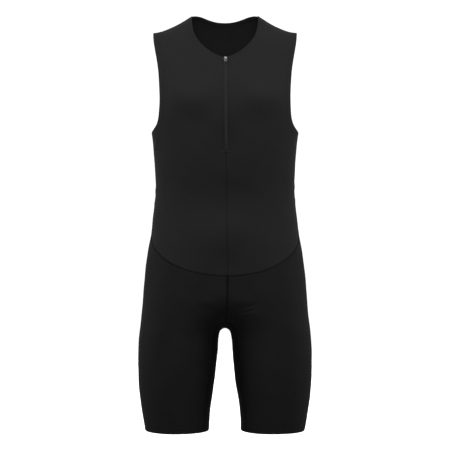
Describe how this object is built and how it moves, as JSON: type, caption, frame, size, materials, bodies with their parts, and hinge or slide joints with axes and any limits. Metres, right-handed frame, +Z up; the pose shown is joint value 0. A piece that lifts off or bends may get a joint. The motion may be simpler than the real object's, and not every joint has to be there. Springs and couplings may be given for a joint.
{
  "type": "sports jumpsuit",
  "caption": "Sleeveless one-piece sports jumpsuit with short legs and a front zip, in its hollow worn shape.",
  "frame": {"origin": "between the two shoulder seams, 20 mm below the points where they meet the neckline, where the wearer's shoulders carry the garment", "axes": "+Z up, the front faces -Y, +X is the wearer's left"},
  "size_m": [0.379, 0.2374, 0.9063],
  "materials": {
    "body_jersey": "matte black stretch knit",
    "short_jersey": "smooth black stretch knit with a faint sheen",
    "zip_tape": "woven black tape",
    "zip_coil": "black nylon coil with a faint purple cast",
    "slider_metal": "bright plated zinc",
    "pull_metal": "dark blue-grey lacquer"
  },
  "bodies": {
    "garment": {"front_left": "body_jersey", "front_right": "body_jersey", "back": "body_jersey", "leg_left": "short_jersey", "leg_right": "short_jersey", "gusset": "short_jersey", "zip_tape_left": "zip_tape", "zip_tape_right": "zip_tape", "zip_chain": "zip_coil", "zip_slider": "slider_metal"},
    "pull": {"zip_pull": "pull_metal"}
  },
  "joints": [
    {"name": "pull_hinge", "type": "hinge", "parent": "garment", "child": "pull", "pos_m": [0.00113, -0.07691, -0.08304], "axis": [-1, 0, 0], "range_deg": [0, 165]}
  ]
}
